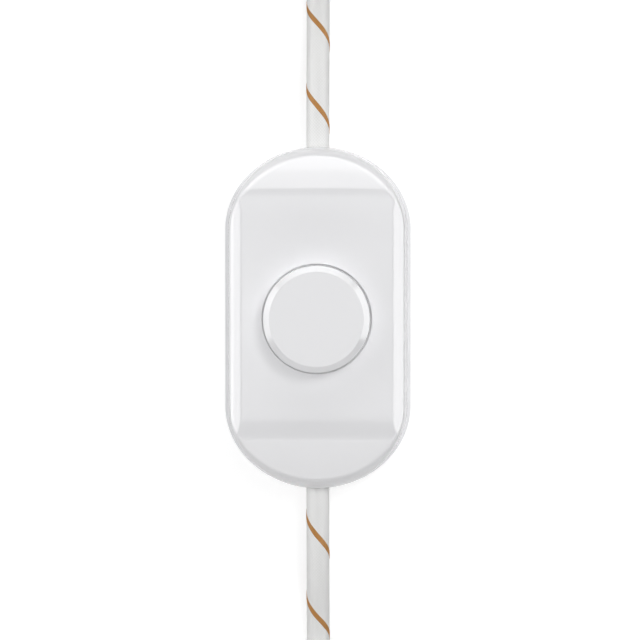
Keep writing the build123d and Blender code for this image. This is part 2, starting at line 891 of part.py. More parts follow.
def make_hank(length, layers):
    """Folded cord as one ring, a layer higher at the fold that crosses the cord's first run."""
    far = hank_near + length
    ring_width = hank_half_width - hank_opening
    outer = stadium(hank_half_width, hank_near, far)
    inner = stadium(hank_opening, hank_near + ring_width, far - ring_width)
    plan = outer - inner
    height = layers * cord_diameter
    ring = extrude(plan, height)
    fold = block((-far, far), (0, hank_near + hank_half_width), (0, height + cord_diameter))
    raised = extrude(plan, height + cord_diameter) & fold
    pinch = tie_thickness + tie_clearance
    core_half = hank_half_width - pinch
    centre, reach = hank_near + length / 2, tie_width / 2 + tie_clearance
    near_side, far_side = centre - reach, centre + reach
    groove = block((-far, far), (near_side, far_side), (-1, height + 1))
    groove -= block((-core_half, core_half), (near_side, far_side), (pinch, height - tie_clearance))
    return ring + raised - groove


def make_hank_tie(length, layers):
    """A flat strap round the middle of the hank, which it pinches a little."""
    half, height = hank_half_width, layers * cord_diameter
    centre = hank_near + length / 2
    y = (centre - tie_width / 2, centre + tie_width / 2)
    outer = block((-half, half), y, (0, height + tie_thickness))
    outer = fillet(outer.edges().filter_by(Axis.Y), tie_thickness)
    core_half = half - tie_thickness
    return outer - block((-core_half, core_half), y, (tie_thickness, height))


mains_route = [
    (0.0, 34.0, 8.5),
    (0.0, 57.0, 8.5),
    (0.0, 80.0, 3.1),
    (0.0, 95.0, 3.1),
]
lamp_route = [
    (0.0, -34.0, 8.5),
    (0.0, -58.0, 8.5),
    (0.0, -81.0, 3.1),
    (0.0, -95.0, 3.1),
]
mains_tail_route = [
    (-18.6, 116.0, 15.5),
    (-17.6, 129.0, 16.6),
    (-13.2, 142.0, 19.6),
    (-10.8, 157.0, 19.6),
]
lamp_tail_route = [
    (-18.6, -116.0, 15.5),
    (-19.6, -129.0, 16.5),
    (-21.2, -142.0, 16.5),
    (-21.8, -153.5, 16.3),
]


def end_of(route):
    """A place at a cord's end, Z along the cord and X level with the ground."""
    end, before = Vector(*route[-1]), Vector(*route[-2])
    onward = end - before
    return Plane(end, x_dir=onward.cross(Vector(0, 0, 1)), z_dir=onward)


def plug_place():
    """The plug lies on the mains hank, its pins pointing away from the dimmer."""
    return end_of(mains_tail_route)


def make_plug_moulding():
    """Body and bend relief moulded as one: it swells from the cord to the pin face."""
    rear, front = plug_guard_length, plug_guard_length + plug_length
    middle = (rear + front) / 2
    width_share, thickness_share = plug_middle_share
    body = loft([
        Pos(0, 0, rear) * RectangleRounded(plug_rear_width, plug_rear_thickness, plug_rear_rounding),
        Pos(0, 0, middle) * RectangleRounded(plug_width * width_share, plug_thickness * thickness_share,
                                             plug_rear_rounding),
        Pos(0, 0, front) * RectangleRounded(plug_width, plug_thickness, plug_front_rounding),
    ])
    wide, narrow = plug_guard_radii
    guard = Pos(0, 0, rear / 2) * Cone(narrow, wide, rear)
    pitch = rear / (plug_guard_grooves + 1)
    for step in range(plug_guard_grooves):
        z = (step + plug_guard_first_groove) * pitch
        radius = narrow + (wide - narrow) * z / rear
        groove = Cylinder(radius + spare, pitch * plug_guard_groove_share)
        groove -= Cylinder(radius - plug_guard_groove_depth, pitch)
        guard -= Pos(0, 0, z) * groove
    sockets = [post(plug_pin_radius - plug_sleeve_wall, front - plug_pin_root, front + spare, (x, 0))
               for x in plug_pin_xs()]
    return plug_place() * (body + guard - sockets)


def plug_pin_xs():
    return (-plug_pin_pitch / 2, plug_pin_pitch / 2)


def make_plug_pins():
    """Round pins with domed tips, thinner in the moulding and where the insulating sleeve sits."""
    front = plug_guard_length + plug_length
    sleeve_end = front + plug_sleeve_length
    pins = []
    for x in plug_pin_xs():
        pin = post(plug_pin_radius, sleeve_end, front + plug_pin_length, (x, 0))
        pin = fillet(pin.edges().sort_by(Axis.Z)[-1], plug_tip_rounding)
        pin += post(plug_pin_radius - plug_sleeve_wall, front - plug_pin_root, sleeve_end, (x, 0))
        pins.append(plug_place() * pin)
    return joined(pins)


def make_plug_pin_sleeves():
    front = plug_guard_length + plug_length
    sleeves = []
    for x in plug_pin_xs():
        sleeve = post(plug_pin_radius, front, front + plug_sleeve_length, (x, 0))
        sleeve -= post(plug_pin_radius - plug_sleeve_wall, 0, 2 * front, (x, 0))
        sleeves.append(plug_place() * sleeve)
    return joined(sleeves)


def lamp_end_place():
    return end_of(lamp_tail_route)


def make_lamp_end_sleeve():
    """Shrunk tubing over the end of the textile cover."""
    tube = post(end_sleeve_radius, -end_sleeve_length / 2, end_sleeve_length / 2)
    tube -= post(cord_radius + end_sleeve_clearance, -end_sleeve_length, 0)
    return lamp_end_place() * fillet(tube.edges().sort_by(Axis.Z)[-1], end_sleeve_rounding)


def lamp_core_path(pole):
    face = end_sleeve_length / 2
    spread = pole * end_core_spread
    side = pole * core_spacing / 2
    end = face + end_core_length - ferrule_length
    return FilletPolyline((side, 0, face), (side, 0, face + end_core_straight),
                          (spread, end_core_drop, face + end_core_run), (spread, end_core_drop, end),
                          radius=end_core_bend)


def make_lamp_end_core(pole):
    path = lamp_core_path(pole)
    core = sweep(Plane(path @ 0, z_dir=path % 0) * Circle(core_radius), path)
    return lamp_end_place() * core


def make_lamp_end_ferrules():
    ferrules = []
    for pole in (-1, 1):
        low = end_sleeve_length / 2 + end_core_length - ferrule_length
        place = (pole * end_core_spread, end_core_drop)
        ferrule = post(ferrule_radius, low, low + ferrule_length, place)
        collar = post(core_radius + ferrule_collar_wall, low, low + ferrule_collar_length, place)
        ferrules.append(lamp_end_place() * (ferrule + collar))
    return joined(ferrules)


def lamp_side(shape):
    return mirror(shape, about=Plane.XZ)


parts = {
    "upper_shell": make_upper_shell(),
    "lower_shell": make_lower_shell(),
    "housing_screws": make_housing_screws(),
    "knob": make_knob(),
    "knob_spring_clip": make_knob_spring_clip(),
    "potentiometer_shaft": make_potentiometer_shaft(),
    "wiper_disc": make_wiper_disc(),
    "potentiometer_bush": make_potentiometer_bush(),
    "potentiometer_body": make_potentiometer_body(),
    "switch_case": make_switch_case(),
    "potentiometer_pins": make_potentiometer_pins(),
    "circuit_board": make_circuit_board(),
    "board_screws": make_board_screws(),
    "triac": make_triac(),
    "heat_sink": make_heat_sink(),
    "heat_sink_screw": make_heat_sink_screw(),
    "heat_sink_nut": make_heat_sink_nut(),
    "choke_core": make_choke_core(),
    "choke_winding": make_choke_winding(),
    "film_capacitor": make_box_capacitor(film_capacitor_place, film_capacitor_size),
    "timing_capacitor": make_box_capacitor(timing_capacitor_place, timing_capacitor_size),
    "resistors": make_resistors(),
    "diac": make_axial_part(diac_place, diac_radius, diac_length),
    "fuse_tube": make_fuse_tube(),
    "fuse_caps": make_fuse_caps(),
    "fuse_clips": make_fuse_clips(),
    "mains_terminal_block": make_terminal_block(1),
    "lamp_terminal_block": make_terminal_block(-1),
    "terminal_screws": make_terminal_screws(),
    "mains_cord_clamp": make_cord_clamp(),
    "lamp_cord_clamp": lamp_side(make_cord_clamp()),
    "clamp_screws": make_clamp_screws(),
    "mains_brown_core": make_core(1),
    "mains_blue_core": make_core(-1),
    "lamp_brown_core": lamp_side(make_core(1)),
    "lamp_blue_core": lamp_side(make_core(-1)),
    "mains_cord": make_tube("mains_cord", mains_route),
    "mains_cord_hank": make_hank(mains_hank_length, mains_hank_layers),
    "mains_hank_tie": make_hank_tie(mains_hank_length, mains_hank_layers),
    "mains_cord_tail": make_tube("mains_cord_tail", mains_tail_route),
    "plug_moulding": make_plug_moulding(),
    "plug_pins": make_plug_pins(),
    "plug_pin_sleeves": make_plug_pin_sleeves(),
    "lamp_cord": make_tube("lamp_cord", lamp_route),
    "lamp_cord_hank": lamp_side(make_hank(lamp_hank_length, lamp_hank_layers)),
    "lamp_hank_tie": lamp_side(make_hank_tie(lamp_hank_length, lamp_hank_layers)),
    "lamp_cord_tail": make_tube("lamp_cord_tail", lamp_tail_route),
    "lamp_end_sleeve": make_lamp_end_sleeve(),
    "lamp_end_brown_core": make_lamp_end_core(1),
    "lamp_end_blue_core": make_lamp_end_core(-1),
    "lamp_end_ferrules": make_lamp_end_ferrules(),
}

os.makedirs("parts", exist_ok=True)
for name, shape in parts.items():
    export_step(shape, f"parts/{name}.step")
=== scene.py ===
import math

import bmesh
import bpy
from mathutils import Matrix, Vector


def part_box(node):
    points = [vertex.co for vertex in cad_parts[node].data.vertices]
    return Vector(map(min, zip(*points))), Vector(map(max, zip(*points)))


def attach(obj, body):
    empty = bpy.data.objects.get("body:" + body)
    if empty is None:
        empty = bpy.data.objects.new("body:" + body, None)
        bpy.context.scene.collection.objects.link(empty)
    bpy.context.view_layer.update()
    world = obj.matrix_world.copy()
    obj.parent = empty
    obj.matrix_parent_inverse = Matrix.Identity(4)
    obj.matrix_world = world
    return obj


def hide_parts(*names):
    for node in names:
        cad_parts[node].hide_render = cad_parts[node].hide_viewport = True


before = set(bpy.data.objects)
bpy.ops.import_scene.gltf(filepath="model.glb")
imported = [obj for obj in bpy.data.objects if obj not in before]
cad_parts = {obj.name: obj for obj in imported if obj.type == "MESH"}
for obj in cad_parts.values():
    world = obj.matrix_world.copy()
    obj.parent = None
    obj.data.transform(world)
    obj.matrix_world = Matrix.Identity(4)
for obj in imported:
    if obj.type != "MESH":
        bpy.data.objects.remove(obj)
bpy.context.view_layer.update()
scene = bpy.context.scene
scene.view_settings.view_transform = "Standard"


# Camera. It hangs over the dimmer, almost square to the flat face, with a small lean towards the
# mains side and the right, so that the knob's top sits a little low and left of the housing's middle.

sensor_width = 36.0
view_width = 0.1725
eye_distance = 0.9
view_middle = (0.00058, -0.00067, 0.0085)
lean_right, lean_up = math.radians(1.0), math.radians(1.4)

target = Vector(view_middle)
away = Vector((math.tan(lean_right), math.tan(lean_up), 1.0)).normalized()
forward = -away
right = forward.cross(Vector((0.0, 1.0, 0.0))).normalized()
camera_up = right.cross(forward)

camera_data = bpy.data.cameras.new("camera")
camera_data.sensor_width = sensor_width
camera_data.lens = sensor_width * eye_distance / view_width
camera = bpy.data.objects.new("camera", camera_data)
camera.rotation_mode = "QUATERNION"
turn = camera.matrix_world.to_3x3()
turn.col[0], turn.col[1], turn.col[2] = right, camera_up, away
camera.rotation_quaternion = turn.to_quaternion()
camera.location = target + away * eye_distance
scene.collection.objects.link(camera)
scene.camera = camera


# Cord. A round two-core mains cord in a smooth white textile braid with gold spiral yarns.
# Each side runs from the housing's gland to a hank of three turns, whose routes are quadratic splines.
# The braid is a tube along the route, and the gold yarns are thin strands wound round it.

cord_radius, sheath_sides, route_steps = 0.0031, 36, 12
gold_pitch = 0.0226
gold_yarns, gold_yarn_sides, gold_yarn_points = 4, 8, 1500
gold_yarn_radius, gold_yarn_step, gold_yarn_sunk = 0.00028, 0.00041, 0.7


def node_tree(name, kind, inputs, outputs):
    """An empty node group with named inputs and outputs, given as (name, socket type, default)."""
    tree = bpy.data.node_groups.new(name, kind)
    for label, socket, default in inputs:
        item = tree.interface.new_socket(label, in_out="INPUT", socket_type=socket)
        if default is not None:
            item.default_value = default
    for label, socket in outputs:
        tree.interface.new_socket(label, in_out="OUTPUT", socket_type=socket)
    return tree, tree.nodes.new("NodeGroupInput"), tree.nodes.new("NodeGroupOutput")


def add(tree, kind, settings=None, **links):
    """A node with its settings. Each input, by its name or as n0 by its number, is linked or set."""
    node = tree.nodes.new(kind)
    for key, value in (settings or {}).items():
        setattr(node, key, value)
    for key, value in links.items():
        place = int(key[1:]) if key[0] == "n" and key[1:].isdigit() else key.replace("_", " ")
        socket = node.inputs[place]
        if isinstance(value, bpy.types.NodeSocket):
            tree.links.new(value, socket)
        else:
            socket.default_value = value
    return node


def math_node(tree, operation, *values):
    """The result of a sum on one, two or three sockets or values."""
    places = {f"n{index}": value for index, value in enumerate(values)}
    return add(tree, "ShaderNodeMath", {"operation": operation}, **places).outputs[0]


def mixed(tree, factor, first, second):
    """A colour between two others, each of them a socket or a value."""
    return add(tree, "ShaderNodeMix", {"data_type": "RGBA"}, Factor=factor, n6=first, n7=second).outputs[2]


def new_piece(name, mesh):
    piece = bpy.data.objects.new(name, mesh)
    scene.collection.objects.link(piece)
    return piece


def route_points(name, points):
    """The points along a cord's route: a quadratic spline with the route's points as controls."""
    curve = bpy.data.curves.new(name, "CURVE")
    curve.dimensions = "3D"
    curve.resolution_u = route_steps
    spline = curve.splines.new("NURBS")
    spline.points.add(len(points) - 1)
    for control, (x, y, z) in zip(spline.points, points):
        control.co = (x / 1000, y / 1000, z / 1000, 1.0)
    spline.order_u = 3
    spline.use_endpoint_u = True
    holder = new_piece(name, curve)
    line = bpy.data.meshes.new_from_object(holder)
    places = [vertex.co.copy() for vertex in line.vertices]
    bpy.data.objects.remove(holder)
    bpy.data.meshes.remove(line)
    return places


def line_object(name, places):
    mesh = bpy.data.meshes.new(name)
    mesh.from_pydata(places, [(n, n + 1) for n in range(len(places) - 1)], [])
    return new_piece(name, mesh)


def settle(piece, tree, values):
    """Runs a geometry node tree on a piece and keeps its result as a plain mesh."""
    modifier = piece.modifiers.new(tree.name, "NODES")
    modifier.node_group = tree
    for item in tree.interface.items_tree:
        if item.item_type == "SOCKET" and item.in_out == "INPUT" and item.name in values:
            modifier[item.identifier] = values[item.name]
    graph = bpy.context.evaluated_depsgraph_get()
    mesh = bpy.data.meshes.new_from_object(piece.evaluated_get(graph), depsgraph=graph)
    piece.modifiers.remove(modifier)
    piece.data = mesh
    mesh.polygons.foreach_set("use_smooth", [True] * len(mesh.polygons))
    return piece


# Braided sheath with its gold yarns, along whatever line the piece holds
sheath_tree, given, result = node_tree(
    "braided sheath", "GeometryNodeTree",
    [("Line", "NodeSocketGeometry", None), ("Radius", "NodeSocketFloat", cord_radius),
     ("Gold Pitch", "NodeSocketFloat", gold_pitch), ("Gold Phase", "NodeSocketFloat", 0.0),
     ("Gold Yarn Radius", "NodeSocketFloat", gold_yarn_radius),
     ("Gold Yarn Step", "NodeSocketFloat", gold_yarn_step),
     ("Braid", "NodeSocketMaterial", None), ("Gold", "NodeSocketMaterial", None)],
    [("Mesh", "NodeSocketGeometry")])
path = add(sheath_tree, "GeometryNodeMeshToCurve", Mesh=given.outputs["Line"])
along = add(sheath_tree, "GeometryNodeSplineParameter")
marked = add(sheath_tree, "GeometryNodeStoreNamedAttribute", {"data_type": "FLOAT", "domain": "POINT"},
             Geometry=path.outputs["Curve"], Name="along", Value=along.outputs["Length"])
ring = add(sheath_tree, "GeometryNodeCurvePrimitiveCircle", Resolution=sheath_sides,
           Radius=given.outputs["Radius"])
ring_place = add(sheath_tree, "GeometryNodeInputPosition")
ring_marked = add(sheath_tree, "GeometryNodeStoreNamedAttribute",
                  {"data_type": "FLOAT_VECTOR", "domain": "POINT"},
                  Geometry=ring.outputs["Curve"], Name="around", Value=ring_place.outputs["Position"])
tube = add(sheath_tree, "GeometryNodeCurveToMesh", Curve=marked.outputs["Geometry"],
           Profile_Curve=ring_marked.outputs["Geometry"], Fill_Caps=True)
tube_done = add(sheath_tree, "GeometryNodeSetMaterial", Geometry=tube.outputs["Mesh"],
                Material=given.outputs["Braid"])
# Gold yarns: copies of the line, each pushed out to the sheath's surface and wound round it
fine = add(sheath_tree, "GeometryNodeResampleCurve", Curve=path.outputs["Curve"],
           Count=gold_yarn_points)
copies = add(sheath_tree, "GeometryNodeDuplicateElements", {"domain": "SPLINE"},
             Geometry=fine.outputs["Curve"], Amount=gold_yarns)
length = add(sheath_tree, "GeometryNodeSplineParameter").outputs["Length"]
direction = add(sheath_tree, "GeometryNodeInputTangent").outputs["Tangent"]
normal = add(sheath_tree, "GeometryNodeInputNormal").outputs["Normal"]
sideways = add(sheath_tree, "ShaderNodeVectorMath", {"operation": "CROSS_PRODUCT"},
               n0=direction, n1=normal).outputs["Vector"]
turns = math_node(sheath_tree, "DIVIDE", length, given.outputs["Gold Pitch"])
offset = math_node(sheath_tree, "MULTIPLY", copies.outputs["Duplicate Index"],
                   math_node(sheath_tree, "DIVIDE", given.outputs["Gold Yarn Step"],
                             given.outputs["Radius"]))
angle = math_node(sheath_tree, "ADD", given.outputs["Gold Phase"],
                  math_node(sheath_tree, "MULTIPLY_ADD", turns, -math.tau, offset))
reach = math_node(sheath_tree, "SUBTRACT", given.outputs["Radius"],
                  math_node(sheath_tree, "MULTIPLY", given.outputs["Gold Yarn Radius"], gold_yarn_sunk))
outwards = add(sheath_tree, "ShaderNodeVectorMath", {"operation": "SCALE"}, n0=normal,
               Scale=math_node(sheath_tree, "MULTIPLY", reach,
                               math_node(sheath_tree, "COSINE", angle)))
across = add(sheath_tree, "ShaderNodeVectorMath", {"operation": "SCALE"}, n0=sideways,
             Scale=math_node(sheath_tree, "MULTIPLY", reach,
                             math_node(sheath_tree, "SINE", angle)))
push = add(sheath_tree, "ShaderNodeVectorMath", {"operation": "ADD"},
           n0=outwards.outputs["Vector"], n1=across.outputs["Vector"])
wound = add(sheath_tree, "GeometryNodeSetPosition", Geometry=copies.outputs["Geometry"],
            Offset=push.outputs["Vector"])
yarn_ring = add(sheath_tree, "GeometryNodeCurvePrimitiveCircle", Resolution=gold_yarn_sides,
                Radius=given.outputs["Gold Yarn Radius"])
yarns = add(sheath_tree, "GeometryNodeCurveToMesh", Curve=wound.outputs["Geometry"],
            Profile_Curve=yarn_ring.outputs["Curve"], Fill_Caps=True)
yarns_done = add(sheath_tree, "GeometryNodeSetMaterial", Geometry=yarns.outputs["Mesh"],
                 Material=given.outputs["Gold"])
both = add(sheath_tree, "GeometryNodeJoinGeometry", Geometry=tube_done.outputs["Geometry"])
sheath_tree.links.new(yarns_done.outputs["Geometry"], both.inputs["Geometry"])
real = add(sheath_tree, "GeometryNodeRealizeInstances", Geometry=both.outputs["Geometry"])
sheath_tree.links.new(real.outputs["Geometry"], result.inputs["Mesh"])


def strand(tree, place):
    """A rounded ridge across each whole step of the place."""
    return math_node(tree, "SINE", math_node(tree, "MULTIPLY", math_node(tree, "FRACT", place), math.pi))


def in_turn(tree, first, second):
    """0 and 1 in turn over the whole steps of two places."""
    steps = math_node(tree, "ADD", math_node(tree, "FLOOR", first), math_node(tree, "FLOOR", second))
    return math_node(tree, "PINGPONG", steps, 1.0)


# The braid's pattern: two families of yarns that cross at an angle, passing over and under in turn.
# Each yarn is made of a few fine ends side by side. The hollows between the yarns are coloured darker, as
# painted shade.
ends_per_yarn, ends_height = 3.0, 0.25
braid_group, given, result = node_tree(
    "braid pattern", "ShaderNodeTree",
    [("Along", "NodeSocketFloat", 0.0), ("Around", "NodeSocketVector", None),
     ("Yarns Around", "NodeSocketFloat", 16.0), ("Braid Pitch", "NodeSocketFloat", 0.02),
     ("Colour", "NodeSocketColor", (1, 1, 1, 1)), ("Hollow Colour", "NodeSocketColor", (1, 1, 1, 1)),
     ("Roughness", "NodeSocketFloat", 0.6)],
    [("Color", "NodeSocketColor"), ("Roughness", "NodeSocketFloat"), ("Height", "NodeSocketFloat")])
parts = add(braid_group, "ShaderNodeSeparateXYZ", Vector=given.outputs["Around"])
turned = math_node(braid_group, "DIVIDE",
                   math_node(braid_group, "ARCTAN2", parts.outputs["Y"], parts.outputs["X"]), math.tau)
around = math_node(braid_group, "MULTIPLY", turned, given.outputs["Yarns Around"])
along = math_node(braid_group, "MULTIPLY", given.outputs["Yarns Around"],
                  math_node(braid_group, "DIVIDE", given.outputs["Along"], given.outputs["Braid Pitch"]))
first = math_node(braid_group, "ADD", around, along)
second = math_node(braid_group, "SUBTRACT", around, along)
checks = in_turn(braid_group, first, second)
over = add(braid_group, "ShaderNodeMix", {"data_type": "FLOAT"}, Factor=checks,
           A=strand(braid_group, first), B=strand(braid_group, second))
ends = add(braid_group, "ShaderNodeMix", {"data_type": "FLOAT"}, Factor=checks,
           A=strand(braid_group, math_node(braid_group, "MULTIPLY", first, ends_per_yarn)),
           B=strand(braid_group, math_node(braid_group, "MULTIPLY", second, ends_per_yarn)))
height = math_node(braid_group, "MULTIPLY_ADD", ends.outputs[0], ends_height,
                   math_node(braid_group, "POWER", over.outputs[0], 0.5))
# Painted shade: the colour runs from the darker one in the hollows between the yarns to the yarns' own
# colour on their crowns.
colour = mixed(braid_group, over.outputs[0], given.outputs["Hollow Colour"], given.outputs["Colour"])
braid_group.links.new(colour, result.inputs["Color"])
braid_group.links.new(math_node(braid_group, "MULTIPLY_ADD", over.outputs[0], -0.12,
                                given.outputs["Roughness"]), result.inputs["Roughness"])
braid_group.links.new(height, result.inputs["Height"])


def new_material(name, colour, **values):
    """A material with one Principled shader, and the shader's own sockets set."""
    made = bpy.data.materials.new(name)
    made.use_nodes = True
    made.diffuse_color = (*colour, 1.0)
    shader = made.node_tree.nodes["Principled BSDF"]
    shader.inputs["Base Color"].default_value = (*colour, 1.0)
    for key, value in values.items():
        shader.inputs[key.replace("_", " ")].default_value = value
    return made, made.node_tree, shader


def finish_with(tree, shader, source, bump_strength, bump_distance):
    """Links a pattern's colour, roughness and height to the shader."""
    tree.links.new(source.outputs["Color"], shader.inputs["Base Color"])
    tree.links.new(source.outputs["Roughness"], shader.inputs["Roughness"])
    bump = add(tree, "ShaderNodeBump", Strength=bump_strength, Distance=bump_distance,
               Height=source.outputs["Height"])
    tree.links.new(bump.outputs["Normal"], shader.inputs["Normal"])


def group_node(tree, group, **values):
    return add(tree, "ShaderNodeGroup", {"node_tree": group}, **values)


def attribute(tree, name):
    return add(tree, "ShaderNodeAttribute", {"attribute_name": name})


white_braid, tree, shader = new_material("white braid", (0.80, 0.80, 0.79), Sheen_Weight=0.15,
                                         Sheen_Roughness=0.4, Specular_IOR_Level=0.4)
# The braid's second, darker colour is painted shade for its hollows.
pattern = group_node(tree, braid_group, Along=attribute(tree, "along").outputs["Fac"],
                     Around=attribute(tree, "around").outputs["Vector"], Yarns_Around=24.0,
                     Braid_Pitch=0.021, Roughness=0.62, Colour=(0.82, 0.82, 0.815, 1),
                     Hollow_Colour=(0.72, 0.72, 0.71, 1))
finish_with(tree, shader, pattern, 0.35, 0.00008)

gold_yarn, tree, shader = new_material("gold yarn", (0.40, 0.17, 0.02), Specular_IOR_Level=0.3)
place = add(tree, "ShaderNodeTexCoord").outputs["Object"]
fibres = add(tree, "ShaderNodeTexNoise", Vector=place, Scale=2600.0, Detail=2.0)
tint = mixed(tree, fibres.outputs["Fac"], (0.30, 0.12, 0.012, 1), (0.50, 0.22, 0.030, 1))
tree.links.new(tint, shader.inputs["Base Color"])
tree.links.new(math_node(tree, "MULTIPLY_ADD", fibres.outputs["Fac"], 0.2, 0.38),
               shader.inputs["Roughness"])
bump = add(tree, "ShaderNodeBump", Strength=0.4, Distance=0.00005, Height=fibres.outputs["Fac"])
tree.links.new(bump.outputs["Normal"], shader.inputs["Normal"])


def fold(radius, centre, heights, near=False):
    """Half a turn round one end of a hank: six points just outside its arc, and one before and after."""
    side = -1 if near else 1
    step, start = math.radians(30), math.radians(-15 if near else 165)
    outer = radius / math.cos(step / 2)
    places = [(-side * radius, centre - side * radius * math.tan(step / 2))]
    for index in range(6):
        bend = start - index * step
        places.append((outer * math.cos(bend), centre + outer * math.sin(bend)))
    places.append((side * radius, places[0][1]))
    return [(x, y, z) for (x, y), z in zip(places, heights)]


# The hanks' layers, the radii of their turns and the centres of their bends, in millimetres
low, high = 3.18, 9.38
flat, upper = (low,) * 8, (high,) * 8
inner, outer = 18.6, 24.8
near_end, mains_end, lamp_end = 118.4, 186.6, 158.6
# Mains side: out of the gland, down to the table, then three turns of the hank
mains_route = [
    (0.0, 34.0, 8.5), (0.0, 57.0, 8.5), (0.0, 80.0, low), (0.0, 95.0, low),
    (0.0, 110.0, low), (-3.0, 125.0, low), (-9.5, 140.0, 3.4), (-16.0, 154.0, 3.9),
    (-18.6, 168.0, 3.2),
    *fold(inner, mains_end, flat), (18.6, 168.0, 3.3), (18.2, 153.0, 3.9), (18.4, 138.0, 3.8),
    *fold(inner, near_end, (3.9, 5.4, 8.4, 9.4, 9.4, 9.2, 8.2, 6.8), near=True),
    (-20.4, 131.0, 5.2), (-23.2, 140.0, 4.0), (-24.3, 152.0, 3.9), (-24.7, 165.0, 3.3),
    *fold(outer, mains_end, flat), (24.6, 167.0, 3.3), (24.2, 153.0, 3.9), (24.6, 139.0, 3.8),
    *fold(outer, near_end, (3.9, 5.4, 8.4, 9.4, 9.4, 9.4, 9.5, 9.6), near=True),
    (-24.3, 137.0, 9.9), (-21.2, 149.0, 9.6), (-18.8, 160.0, 9.5), (-18.6, 171.0, 9.3),
    *fold(inner, mains_end, upper), (18.6, 169.0, 9.3), (18.4, 153.0, 9.5), (18.6, 138.0, 9.7),
    *fold(inner, near_end, (10.4, 12.4, 14.7, 15.6, 15.6, 15.6, 15.5, 15.5), near=True),
    (-17.6, 129.0, 16.6), (-13.2, 142.0, 19.6), (-10.8, 157.0, 19.6),
]
# Lamp side, in the same way, turned over to the other end
lamp_route = [
    (0.0, 34.0, 8.5), (0.0, 58.0, 8.5), (0.0, 81.0, low), (0.0, 95.0, low),
    (0.0, 106.0, low), (-3.6, 119.0, 3.2), (-10.2, 131.0, 3.8), (-16.0, 142.0, 3.8),
    *fold(inner, lamp_end, flat), (18.4, 146.0, 3.6), (18.2, 136.0, 3.9),
    *fold(inner, near_end, (4.0, 5.6, 8.4, 9.4, 9.4, 9.2, 8.0, 6.4), near=True),
    (-20.5, 130.5, 4.8), (-23.6, 140.0, 3.9),
    *fold(outer, lamp_end, flat), (24.5, 145.0, 3.6), (24.2, 136.0, 3.9),
    *fold(outer, near_end, (4.0, 5.6, 8.4, 9.4, 9.4, 9.4, 9.5, 9.7), near=True),
    (-24.0, 135.0, 9.7), (-20.4, 144.5, 9.6),
    *fold(inner, lamp_end, upper), (18.5, 145.0, 9.4), (18.4, 135.0, 9.6),
    *fold(inner, near_end, (10.8, 12.6, 14.7, 15.6, 15.6, 15.6, 15.5, 15.5), near=True),
    (-19.6, 129.0, 16.5), (-21.2, 142.0, 16.5), (-21.8, 153.5, 16.3),
]
lamp_route = [(x, -y, z) for x, y, z in lamp_route]


def make_cord(name, route, phase):
    places = route_points(name, route)
    piece = settle(line_object(name, places), sheath_tree,
                   {"Gold Phase": phase, "Braid": white_braid, "Gold": gold_yarn})
    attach(piece, "housing")
    return piece, places


mains_lead, mains_line = make_cord("mains_lead", mains_route, -1.80)
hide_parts("mains_cord", "mains_cord_hank", "mains_cord_tail")
lamp_lead, lamp_line = make_cord("lamp_lead", lamp_route, -1.20)
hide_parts("lamp_cord", "lamp_cord_hank", "lamp_cord_tail")


# Straps that hold the hanks. Each is a woven strap drawn round the middle of its hank, with its
# overlapping end laid down on top. It is bent from one flat band with bevelled edges.

strap_thickness, strap_width, strap_corner = 0.0007, 0.012, 0.0030
strap_bevel, strap_bevel_start, corner_steps = 0.00022, 0.94, 6
overlap_start, overlap_step, overlap_points, overlap_gap = 0.0245, 0.0016, 13, 0.00003


def band_outline(half, top):
    """The strap's loop seen along Y, anticlockwise from the middle of its top."""
    points = [(0.0, top)]
    side, above, below = half - strap_corner, top - strap_corner, strap_corner
    for centre_x, centre_z, start in ((-side, above, 90), (-side, below, 180), (side, below, 270),
                                      (side, above, 0)):
        for step in range(corner_steps + 1):
            bend = math.radians(start + 90 * step / corner_steps)
            points.append((centre_x + strap_corner * math.cos(bend),
                           centre_z + strap_corner * math.sin(bend)))
    return points


